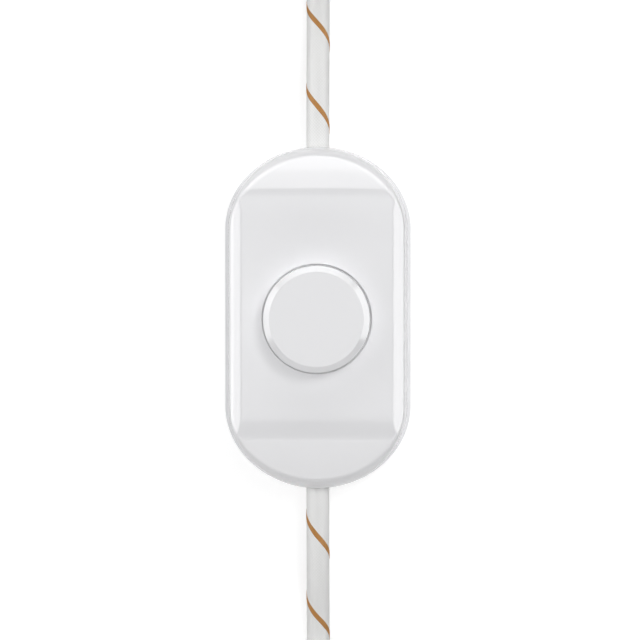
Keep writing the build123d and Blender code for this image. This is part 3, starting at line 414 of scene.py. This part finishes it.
def make_strap(name, node):
    """A closed band, and its overlap as a second layer on top."""
    node_low, node_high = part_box(node)
    middle = (node_low.y + node_high.y) / 2
    half, top = node_high.x, node_high.z
    mesh = bpy.data.meshes.new(name)
    build = bmesh.new()
    wrap = build.loops.layers.uv.new("strap")
    across_steps = (-1.0, -strap_bevel_start, -0.5, 0.0, 0.5, strap_bevel_start, 1.0)
    inset = (strap_bevel, 0.0, 0.0, 0.0, 0.0, 0.0, strap_bevel)
    last = len(across_steps) - 1

    def band(outline, closed, lift):
        """One layer of strap: an outer and an inner skin joined along their edges."""
        count = len(outline)
        lengths = [0.0]
        for a, b in zip(outline, outline[1:] + outline[:1]):
            lengths.append(lengths[-1] + math.dist(a, b))
        rings = []
        for index, (x, z) in enumerate(outline):
            before = outline[index - 1] if closed or index else outline[index]
            after = outline[(index + 1) % count] if closed or index < count - 1 else outline[index]
            along_x, along_z = after[0] - before[0], after[1] - before[1]
            size = math.hypot(along_x, along_z)
            out_x, out_z = along_z / size, -along_x / size
            ring = []
            for inside, layer in ((False, range(last + 1)), (True, range(last, -1, -1))):
                for step in layer:
                    share = across_steps[step]
                    depth = (strap_thickness - inset[step] if inside else inset[step]) - lift
                    place = (x - out_x * depth, middle + share * strap_width / 2, z - out_z * depth)
                    ring.append((build.verts.new(place), 3.0 - share if inside else share))
            rings.append(ring)
        spans = range(count) if closed else range(count - 1)
        for index in spans:
            here, there = rings[index], rings[(index + 1) % count]
            for step in range(len(here)):
                after = (step + 1) % len(here)
                face = build.faces.new((here[step][0], here[after][0], there[after][0], there[step][0]))
                spots = ((lengths[index], here[step][1]), (lengths[index], here[after][1]),
                         (lengths[index + 1], here[after][1]), (lengths[index + 1], here[step][1]))
                for corner, (u, v) in zip(face.loops, spots):
                    corner[wrap].uv = (u, v * strap_width / 2)
        if not closed:
            for ring, flip in ((rings[0], False), (rings[-1], True)):
                verts = [vert for vert, _ in ring]
                build.faces.new(verts[::-1] if flip else verts)

    band(band_outline(half, top), True, 0.0)
    overlap = [(overlap_start - overlap_step * step, top) for step in range(overlap_points)]
    band(overlap, False, strap_thickness + overlap_gap)
    bmesh.ops.recalc_face_normals(build, faces=build.faces)
    build.to_mesh(mesh)
    build.free()
    mesh.polygons.foreach_set("use_smooth", [True] * len(mesh.polygons))
    return new_piece(name, mesh)


weave_group, given, result = node_tree(
    "plain weave", "ShaderNodeTree",
    [("Place", "NodeSocketVector", None), ("Yarn Width", "NodeSocketFloat", 0.0005),
     ("Colour", "NodeSocketColor", (1, 1, 1, 1)), ("Hollow Colour", "NodeSocketColor", (1, 1, 1, 1)),
     ("Roughness", "NodeSocketFloat", 0.8)],
    [("Color", "NodeSocketColor"), ("Roughness", "NodeSocketFloat"), ("Height", "NodeSocketFloat")])
parts = add(weave_group, "ShaderNodeSeparateXYZ", Vector=given.outputs["Place"])
first = math_node(weave_group, "DIVIDE", parts.outputs["X"], given.outputs["Yarn Width"])
second = math_node(weave_group, "DIVIDE", parts.outputs["Y"], given.outputs["Yarn Width"])
checks = in_turn(weave_group, first, second)
ridge = math_node(weave_group, "MULTIPLY", strand(weave_group, first), strand(weave_group, second))
raised = math_node(weave_group, "MULTIPLY_ADD", checks, 0.35, ridge)
# Painted shade: the colour darkens in the gaps between the yarns and on the yarns that pass underneath.
colour = mixed(weave_group, math_node(weave_group, "MINIMUM", raised, 1.0),
               given.outputs["Hollow Colour"], given.outputs["Colour"])
weave_group.links.new(colour, result.inputs["Color"])
weave_group.links.new(math_node(weave_group, "MULTIPLY_ADD", ridge, -0.1, given.outputs["Roughness"]),
                      result.inputs["Roughness"])
weave_group.links.new(raised, result.inputs["Height"])

strap_webbing, tree, shader = new_material("strap webbing", (0.55, 0.55, 0.55), Sheen_Weight=0.2)
place = add(tree, "ShaderNodeUVMap", {"uv_map": "strap"}).outputs["UV"]
# The webbing's darker second colour is painted shade for the gaps in its weave.
pattern = group_node(tree, weave_group, Place=place, Yarn_Width=0.0006, Roughness=0.85,
                     Colour=(0.62, 0.62, 0.61, 1), Hollow_Colour=(0.40, 0.40, 0.40, 1))
finish_with(tree, shader, pattern, 0.6, 0.00015)

mains_strap = make_strap("mains_strap", "mains_hank_tie")
lamp_strap = make_strap("lamp_strap", "lamp_hank_tie")
for strap, node in ((mains_strap, "mains_hank_tie"), (lamp_strap, "lamp_hank_tie")):
    strap.data.materials.append(strap_webbing)
    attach(strap, "housing")
    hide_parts(node)


# Housing and knob. Glossy white mouldings: an upper and a lower shell that meet in a stepped seam,
# and a turned-looking cap over the shaft. The polished mould leaves a faint waviness and fine scuffs.

skin_group, given, result = node_tree(
    "moulded skin", "ShaderNodeTree",
    [("Place", "NodeSocketVector", None), ("Colour", "NodeSocketColor", (1, 1, 1, 1)),
     ("Shade Range", "NodeSocketFloat", 0.02), ("Roughness", "NodeSocketFloat", 0.25),
     ("Scuffing", "NodeSocketFloat", 0.06), ("Wave Size", "NodeSocketFloat", 90.0),
     ("Grain Size", "NodeSocketFloat", 1800.0), ("Grain Height", "NodeSocketFloat", 0.2)],
    [("Color", "NodeSocketColor"), ("Roughness", "NodeSocketFloat"), ("Height", "NodeSocketFloat")])
clouds = add(skin_group, "ShaderNodeTexNoise", Vector=given.outputs["Place"],
             Scale=given.outputs["Wave Size"], Detail=3.0, Roughness=0.5)
grain = add(skin_group, "ShaderNodeTexNoise", Vector=given.outputs["Place"],
            Scale=given.outputs["Grain Size"], Detail=2.0, Roughness=0.6)
stretched = add(skin_group, "ShaderNodeVectorMath", {"operation": "MULTIPLY"},
                n0=given.outputs["Place"], n1=(5200.0, 700.0, 2600.0))
scuffs = add(skin_group, "ShaderNodeTexNoise", Vector=stretched.outputs["Vector"], Scale=1.0, Detail=3.0)
scuff_mask = add(skin_group, "ShaderNodeMapRange", Value=scuffs.outputs["Fac"],
                 From_Min=0.56, From_Max=0.72)
cloud_shift = math_node(skin_group, "SUBTRACT", clouds.outputs["Fac"], 0.5)
bright = math_node(skin_group, "MULTIPLY_ADD", given.outputs["Shade Range"], cloud_shift, 1.0)
colour = add(skin_group, "ShaderNodeVectorMath", {"operation": "SCALE"}, n0=given.outputs["Colour"],
             Scale=bright)
skin_group.links.new(colour.outputs["Vector"], result.inputs["Color"])
rough = math_node(skin_group, "MULTIPLY_ADD", scuff_mask.outputs["Result"], given.outputs["Scuffing"],
                  given.outputs["Roughness"])
rough = math_node(skin_group, "MULTIPLY_ADD", cloud_shift, given.outputs["Scuffing"], rough)
skin_group.links.new(rough, result.inputs["Roughness"])
relief = math_node(skin_group, "MULTIPLY_ADD", grain.outputs["Fac"], given.outputs["Grain Height"],
                   clouds.outputs["Fac"])
skin_group.links.new(relief, result.inputs["Height"])


def moulding(name, colour, roughness, scuffing=0.06, shade_range=0.02, grain_size=1800.0,
             grain_height=0.2, bump=0.05, distance=0.0001):
    """A moulded surface with a slow waviness, a fine grain and scuffs."""
    made, tree, shader = new_material(name, colour)
    place = add(tree, "ShaderNodeTexCoord").outputs["Object"]
    pattern = group_node(tree, skin_group, Place=place, Colour=(*colour, 1), Shade_Range=shade_range,
                         Roughness=roughness, Scuffing=scuffing, Grain_Size=grain_size,
                         Grain_Height=grain_height)
    finish_with(tree, shader, pattern, bump, distance)
    return made


def dress(material, *nodes):
    """Gives CAD nodes their material."""
    for node in nodes:
        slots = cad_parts[node].data.materials
        slots.clear()
        slots.append(material)


housing_white = moulding("housing white", (0.80, 0.80, 0.815), 0.12, scuffing=0.03)
knob_white = moulding("knob white", (0.80, 0.80, 0.815), 0.13, scuffing=0.03)
dress(housing_white, "upper_shell", "lower_shell", "mains_cord_clamp", "lamp_cord_clamp")
dress(knob_white, "knob")


# Outer skin of the upper shell. The polished outside of the same moulding: its face, shoulders, bands
# and slopes run out to the walls in one soft rounding, wide over the ends and narrow along the sides.
# It is a closed skin fitted a hair over the plain shell, column by column, with sizes in millimetres.

housing_length, housing_width, housing_height = 92.0, 50.0, 24.0
straight, parting, step_in = 23.8, 8.5, 0.8
face_shift, face_half = 0.9, 19.9
shoulder_radius, shoulder_start = 8.0, 12.0
band_start, band_end, band_angles = 28.1, 33.5, (3.5, 13.0)
slope_radius, slope_start = 40.0, 20.0
steepest_sine = 0.985
band_edge_half = 22.03
well_radius = 14.66
skin_bottom, skin_lift, skin_thickness = 12.46, 0.05, 0.9
end_rounding, side_rounding = 3.0, 0.6
rounding_from, rounding_over = 0.15, 0.6
foot_room, edge_room = 0.2, 0.3
wall_points, rounding_points = 4, 10
band_edge_points, face_edge_points, well_points = 24, 9, 4
end_columns, side_columns = 180, 70


def sine(angle):
    return math.sin(math.radians(angle))


def drop_along(across, radius, start):
    """How far an arc has dropped at a distance from its start, which begins at an angle."""
    turn = math.asin(min(sine(start) + across / radius, steepest_sine))
    return radius * (math.cos(math.radians(start)) - math.cos(turn))


def surface(x, y):
    """The height of the moulding's top: the lower of its shoulders and its stepped ends."""
    across, along = abs(x) - face_half, abs(y - face_shift)
    shoulder = drop_along(across, shoulder_radius, shoulder_start) if across > 0 else 0.0
    band_radius = (band_end - band_start) / (sine(band_angles[1]) - sine(band_angles[0]))
    end = 0.0
    if along > band_start:
        end = drop_along(min(along, band_end) - band_start, band_radius, band_angles[0])
    if along > band_end:
        end += drop_along(along - band_end, slope_radius, slope_start)
    return housing_height - max(shoulder, end)


def wall_place(turn, z):
    """A point of the drafted outer wall in a direction, and the way out of the wall there."""
    draft = (z - parting) / (housing_height - parting)
    half = housing_width / 2 - step_in - draft + skin_lift
    deep = housing_length / 2 - straight - draft + skin_lift
    c, s = math.cos(turn), math.sin(turn)
    reach = half / abs(c) if abs(c) > 1e-9 else math.inf
    if reach * abs(s) > straight:
        square = (c / half) ** 2 + (s / deep) ** 2
        lean = abs(s) * straight / deep ** 2
        reach = (lean + math.sqrt(lean ** 2 - square * ((straight / deep) ** 2 - 1))) / square
        past = math.copysign(abs(reach * s) - straight, s)
        out = Vector((reach * c / half ** 2, past / deep ** 2, 0.0))
    else:
        out = Vector((math.copysign(1.0, c), 0.0, 0.0))
    return Vector((reach * c, reach * s, z)), out.normalized()


def box_place(turn, half, deep):
    """A point of the edge of the face or of a band, in a direction."""
    c, s = math.cos(turn), math.sin(turn)
    deep += math.copysign(face_shift, s)
    reach = min(half / max(abs(c), 1e-9), deep / max(abs(s), 1e-9))
    return Vector((reach * c, reach * s, 0.0))


def skin_column(turn):
    """The skin's points in one direction, from the foot of its outside, over the top and back inside."""
    foot, _ = wall_place(turn, skin_bottom)
    # A first place near the wall's top says how wide the rounding is there, and where it begins
    edge, out = wall_place(turn, 0.75 * housing_height)
    share = min(max((abs(out.y) - rounding_from) / rounding_over, 0.0), 1.0)
    round_off = side_rounding + (end_rounding - side_rounding) * share * share * (3 - 2 * share)
    top = surface(edge.x, edge.y)
    round_off = min(round_off, top - skin_bottom - foot_room)
    edge, out = wall_place(turn, top - round_off)
    column = [foot.lerp(edge, part / wall_points) for part in range(wall_points)]
    for index in range(rounding_points + 1):
        turned = math.pi / 2 * index / rounding_points
        place = edge - out * round_off * (1 - math.cos(turned))
        place.z = surface(place.x, place.y) - round_off * (1 - math.sin(turned)) + skin_lift
        column.append(place)
    inner = column[-1]
    face_edge = box_place(turn, face_half, band_start)
    band_edge = box_place(turn, band_edge_half, band_end)
    room = math.hypot(inner.x, inner.y) - edge_room
    if band_edge.length > room:
        band_edge *= room / band_edge.length
    if face_edge.length > room - edge_room:
        face_edge *= (room - edge_room) / face_edge.length
    well = Vector((well_radius * math.cos(turn), well_radius * math.sin(turn), 0.0))
    for start, end, count in ((inner, band_edge, band_edge_points),
                              (band_edge, face_edge, face_edge_points), (face_edge, well, well_points)):
        for index in range(1, count + 1):
            place = start.lerp(end, index / count)
            place.z = surface(place.x, place.y) + skin_lift
            column.append(place)
    for place, sunk in ((well, 0.0), (face_edge, 0.0), (inner, round_off / 4)):
        place = place.copy()
        place.z = surface(place.x, place.y) - skin_thickness - sunk
        column.append(place)
    column.append(edge - out * skin_thickness)
    column.append(foot - out * skin_thickness)
    return column


def even_turns():
    """Directions all the way round, closer together over the ends."""
    corner = math.atan2(straight, housing_width / 2)
    turns = []
    for first, last, count in ((-corner, corner, side_columns), (corner, math.pi - corner, end_columns),
                               (math.pi - corner, math.pi + corner, side_columns),
                               (math.pi + corner, math.tau - corner, end_columns)):
        turns += [first + (last - first) * index / count for index in range(count)]
    return turns


columns = [skin_column(turn) for turn in even_turns()]
rows = len(columns[0])
places = [place / 1000 for column in columns for place in column]
faces = []
for index in range(len(columns)):
    here, there = index * rows, (index + 1) % len(columns) * rows
    for row in range(rows):
        after = (row + 1) % rows
        faces.append((here + row, there + row, there + after, here + after))
skin_mesh = bpy.data.meshes.new("upper_shell_skin")
skin_mesh.from_pydata(places, [], faces)
skin_mesh.polygons.foreach_set("use_smooth", [True] * len(faces))
skin_mesh.set_sharp_from_angle(angle=math.radians(35))
skin_mesh.materials.append(housing_white)
upper_skin = new_piece("upper_shell_skin", skin_mesh)
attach(upper_skin, "housing")


# Plug and the lamp end. The plug is moulded on the cord in matt white plastic, with nickel-plated
# pins. At the lamp end a shrunk sleeve holds the braid, and the cores end in crimped ferrules.

plug_white = moulding("plug white", (0.76, 0.76, 0.765), 0.5, scuffing=0.1, grain_size=2600.0,
                      grain_height=0.7, bump=0.25, distance=0.00006)
sleeve_white = moulding("shrunk sleeve", (0.74, 0.74, 0.74), 0.42, scuffing=0.12)
dress(plug_white, "plug_moulding")
dress(sleeve_white, "lamp_end_sleeve")
brown_core = moulding("brown core", (0.16, 0.06, 0.028), 0.4, scuffing=0.12, shade_range=0.1)
blue_core = moulding("blue core", (0.02, 0.12, 0.45), 0.4, scuffing=0.12, shade_range=0.1)
dress(brown_core, "lamp_end_brown_core", "mains_brown_core", "lamp_brown_core")
dress(blue_core, "lamp_end_blue_core", "mains_blue_core", "lamp_blue_core")

metal_group, given, result = node_tree(
    "worked metal", "ShaderNodeTree",
    [("Place", "NodeSocketVector", None), ("Colour", "NodeSocketColor", (1, 1, 1, 1)),
     ("Tarnish Colour", "NodeSocketColor", (1, 1, 1, 1)), ("Tarnish", "NodeSocketFloat", 0.3),
     ("Roughness", "NodeSocketFloat", 0.3), ("Tool Marks", "NodeSocketVector", (900.0, 900.0, 9000.0))],
    [("Color", "NodeSocketColor"), ("Roughness", "NodeSocketFloat"), ("Height", "NodeSocketFloat")])
patches = add(metal_group, "ShaderNodeTexNoise", Vector=given.outputs["Place"], Scale=420.0, Detail=4.0)
spots = add(metal_group, "ShaderNodeMapRange", Value=patches.outputs["Fac"], From_Min=0.5, From_Max=0.75)
stretched = add(metal_group, "ShaderNodeVectorMath", {"operation": "MULTIPLY"},
                n0=given.outputs["Place"], n1=given.outputs["Tool Marks"])
marks = add(metal_group, "ShaderNodeTexNoise", Vector=stretched.outputs["Vector"], Scale=1.0, Detail=2.0)
dull = math_node(metal_group, "MULTIPLY", spots.outputs["Result"], given.outputs["Tarnish"])
colour = mixed(metal_group, dull, given.outputs["Colour"], given.outputs["Tarnish Colour"])
metal_group.links.new(colour, result.inputs["Color"])
rough = math_node(metal_group, "MULTIPLY_ADD", dull, 0.3, given.outputs["Roughness"])
metal_group.links.new(math_node(metal_group, "MULTIPLY_ADD", marks.outputs["Fac"], 0.1, rough),
                      result.inputs["Roughness"])
metal_group.links.new(marks.outputs["Fac"], result.inputs["Height"])


def metal(name, colour, tarnish_colour, roughness, tarnish=0.3, marks=(900.0, 900.0, 9000.0), bump=0.15):
    """A plated or worked metal with patches of tarnish and fine tool marks along one axis."""
    made, tree, shader = new_material(name, colour, Metallic=1.0)
    place = add(tree, "ShaderNodeTexCoord").outputs["Object"]
    pattern = group_node(tree, metal_group, Place=place, Colour=(*colour, 1),
                         Tarnish_Colour=(*tarnish_colour, 1), Tarnish=tarnish, Roughness=roughness,
                         Tool_Marks=marks)
    finish_with(tree, shader, pattern, bump, 0.00002)
    return made


nickel = metal("nickel plating", (0.72, 0.69, 0.63), (0.50, 0.46, 0.38), 0.16, 0.2)
tinned = metal("tinned copper", (0.72, 0.72, 0.70), (0.55, 0.50, 0.42), 0.3, 0.4)
dress(nickel, "plug_pins", "fuse_caps")
dress(tinned, "lamp_end_ferrules", "potentiometer_pins")
black_moulding = moulding("black moulding", (0.022, 0.022, 0.024), 0.42, scuffing=0.2, shade_range=0.3,
                          grain_height=0.6, bump=0.2)
dress(black_moulding, "plug_pin_sleeves", "switch_case", "triac")


# Screws and turning parts. Zinc-plated steel screws, a turned aluminium shaft in a die-cast bush,
# and springs punched from plated strip, all fixed inside or from below.

zinc_steel = metal("zinc-plated steel", (0.62, 0.62, 0.61), (0.42, 0.42, 0.40), 0.28, 0.5)
strip = metal("plated strip", (0.66, 0.62, 0.52), (0.45, 0.40, 0.30), 0.3, 0.4, (9000.0, 900.0, 900.0))
turned_aluminium = metal("turned aluminium", (0.78, 0.78, 0.79), (0.6, 0.6, 0.6), 0.24, 0.2)
cast_zinc = metal("die-cast zinc", (0.5, 0.5, 0.51), (0.34, 0.34, 0.35), 0.45, 0.6,
                  (1500.0, 1500.0, 1500.0), 0.3)
sheet_aluminium = metal("punched sheet", (0.74, 0.74, 0.75), (0.55, 0.55, 0.55), 0.32, 0.3,
                        (900.0, 9000.0, 900.0))
dress(zinc_steel, "housing_screws", "board_screws", "heat_sink_screw", "heat_sink_nut",
      "terminal_screws", "clamp_screws")
dress(strip, "knob_spring_clip", "wiper_disc", "fuse_clips")
dress(turned_aluminium, "potentiometer_shaft")
dress(cast_zinc, "potentiometer_bush")
dress(sheet_aluminium, "heat_sink")


# Circuit board and what stands on it. A paper laminate board with moulded, lacquered, wound and
# glass parts, soldered below. None of it shows while the housing is closed.

laminate = moulding("paper laminate", (0.42, 0.27, 0.11), 0.55, scuffing=0.1, shade_range=0.25,
                    grain_size=3000.0, grain_height=0.8, bump=0.2)
core_paint = moulding("core paint", (0.70, 0.56, 0.07), 0.4, shade_range=0.15)
capacitor_yellow = moulding("capacitor box", (0.70, 0.47, 0.05), 0.3, shade_range=0.08)
resistor_lacquer = moulding("resistor lacquer", (0.50, 0.36, 0.22), 0.35, shade_range=0.15)
terminal_green = moulding("terminal block", (0.05, 0.27, 0.10), 0.4, shade_range=0.12, grain_height=0.5)
dress(laminate, "circuit_board", "potentiometer_body")
dress(core_paint, "choke_core")
dress(capacitor_yellow, "film_capacitor", "timing_capacitor")
dress(resistor_lacquer, "resistors")
dress(terminal_green, "mains_terminal_block", "lamp_terminal_block")
enamelled = metal("enamelled wire", (0.58, 0.22, 0.09), (0.40, 0.12, 0.05), 0.3, 0.5,
                  (400.0, 400.0, 3000.0))
dress(enamelled, "choke_winding")


def glass(name, colour):
    made, tree, shader = new_material(name, colour, Transmission_Weight=0.9, IOR=1.5)
    place = add(tree, "ShaderNodeTexCoord").outputs["Object"]
    streaks = add(tree, "ShaderNodeTexNoise", Vector=place, Scale=700.0, Detail=2.0)
    tree.links.new(math_node(tree, "MULTIPLY_ADD", streaks.outputs["Fac"], 0.06, 0.02),
                   shader.inputs["Roughness"])
    return made


dress(glass("fuse glass", (0.92, 0.96, 0.95)), "fuse_tube")
dress(glass("diode glass", (0.25, 0.36, 0.7)), "diac")


# Table and backdrop. A plain pale sweep under the object, which the camera sees as white where
# the light falls freely on it, and which keeps the object's shadow.

floor_half = 3.0


def seen_directly(tree):
    """1 for the camera's rays and for those that reach it off a glossy or through a clear surface."""
    rays = add(tree, "ShaderNodeLightPath")
    gloss = math_node(tree, "MAXIMUM", rays.outputs["Is Camera Ray"], rays.outputs["Is Glossy Ray"])
    return math_node(tree, "MAXIMUM", gloss, rays.outputs["Is Transmission Ray"])


floor_mesh = bpy.data.meshes.new("floor")
floor_mesh.from_pydata([(-floor_half, -floor_half, 0), (floor_half, -floor_half, 0),
                        (floor_half, floor_half, 0), (-floor_half, floor_half, 0)], [], [(0, 1, 2, 3)])
floor = new_piece("floor", floor_mesh)
pale = bpy.data.materials.new("pale sweep")
pale.use_nodes = True
tree = pale.node_tree
tree.nodes.clear()
plain = add(tree, "ShaderNodeBsdfDiffuse", Color=(0.80, 0.80, 0.80, 1))
faint = add(tree, "ShaderNodeBsdfDiffuse", Color=(0.45, 0.45, 0.45, 1))
lifted = add(tree, "ShaderNodeEmission", Color=(1, 1, 1, 1), Strength=0.70)
together = add(tree, "ShaderNodeAddShader", n0=faint.outputs[0], n1=lifted.outputs[0])
choice = add(tree, "ShaderNodeMixShader", n0=seen_directly(tree), n1=plain.outputs[0],
             n2=together.outputs[0])
add(tree, "ShaderNodeOutputMaterial", Surface=choice.outputs[0])
floor_mesh.materials.append(pale)

world = bpy.data.worlds.new("studio")
scene.world = world
world.use_nodes = True
tree = world.node_tree
tree.nodes.clear()
strength = add(tree, "ShaderNodeMix", {"data_type": "FLOAT"}, Factor=seen_directly(tree), A=0.26, B=1.0)
sky = add(tree, "ShaderNodeBackground", Color=(1.0, 1.0, 1.0, 1), Strength=strength.outputs[0])
add(tree, "ShaderNodeOutputWorld", Surface=sky.outputs[0])


# Lights. A large soft box overhead lights the face. The key on the far right throws the knob's short
# shadow to the left and below, and low lamps fill from the ends and the left. The white cards show
# only in the gloss, where they draw the slopes, the shoulders and the knob's bevel.

def soft_box(name, place, aim, size, radiance, only_gloss=False, only_diffuse=False):
    """A rectangular lamp of an even brightness, where 1 is white."""
    data = bpy.data.lights.new(name, "AREA")
    data.shape = "RECTANGLE"
    data.size, data.size_y = size
    data.energy = radiance * math.pi * size[0] * size[1]
    light = bpy.data.objects.new(name, data)
    light.location = place
    light.rotation_mode = "QUATERNION"
    light.rotation_quaternion = (Vector(aim) - Vector(place)).to_track_quat("-Z", "Y")
    light.visible_camera = False
    light.visible_diffuse = not only_gloss
    light.visible_glossy = not only_diffuse
    scene.collection.objects.link(light)


soft_box("overhead", (0.10, 0.20, 1.5), (0.10, 0.20, 0.0), (1.1, 0.8), 1.9)
soft_box("key", (0.46, 0.50, 1.10), (0.0, 0.0, 0.0), (0.40, 0.40), 8.0, only_diffuse=True)
soft_box("far lamp", (0.0, 1.1, 0.42), (0.0, 0.0, 0.0), (1.2, 0.5), 1.8)
soft_box("left lamp", (-1.0, 0.15, 0.35), (0.0, 0.15, 0.0), (0.7, 0.4), 2.6)
soft_box("near lamp", (0.0, -1.1, 0.36), (0.0, 0.0, 0.0), (1.2, 0.36), 2.3)
soft_box("far card", (0.0, 1.2, 0.62), (0.0, 0.0, 0.0), (2.7, 1.1), 3.1, only_gloss=True)
soft_box("near card", (0.0, -1.2, 1.2), (0.0, 0.0, 0.0), (2.0, 1.1), 2.4, only_gloss=True)
soft_box("left card", (-1.2, 0.2, 0.98), (0.0, 0.2, 0.98), (1.5, 1.76), 4.6, only_gloss=True)
soft_box("right card", (1.2, 0.2, 1.07), (0.0, 0.2, 1.07), (1.5, 1.96), 5.6, only_gloss=True)
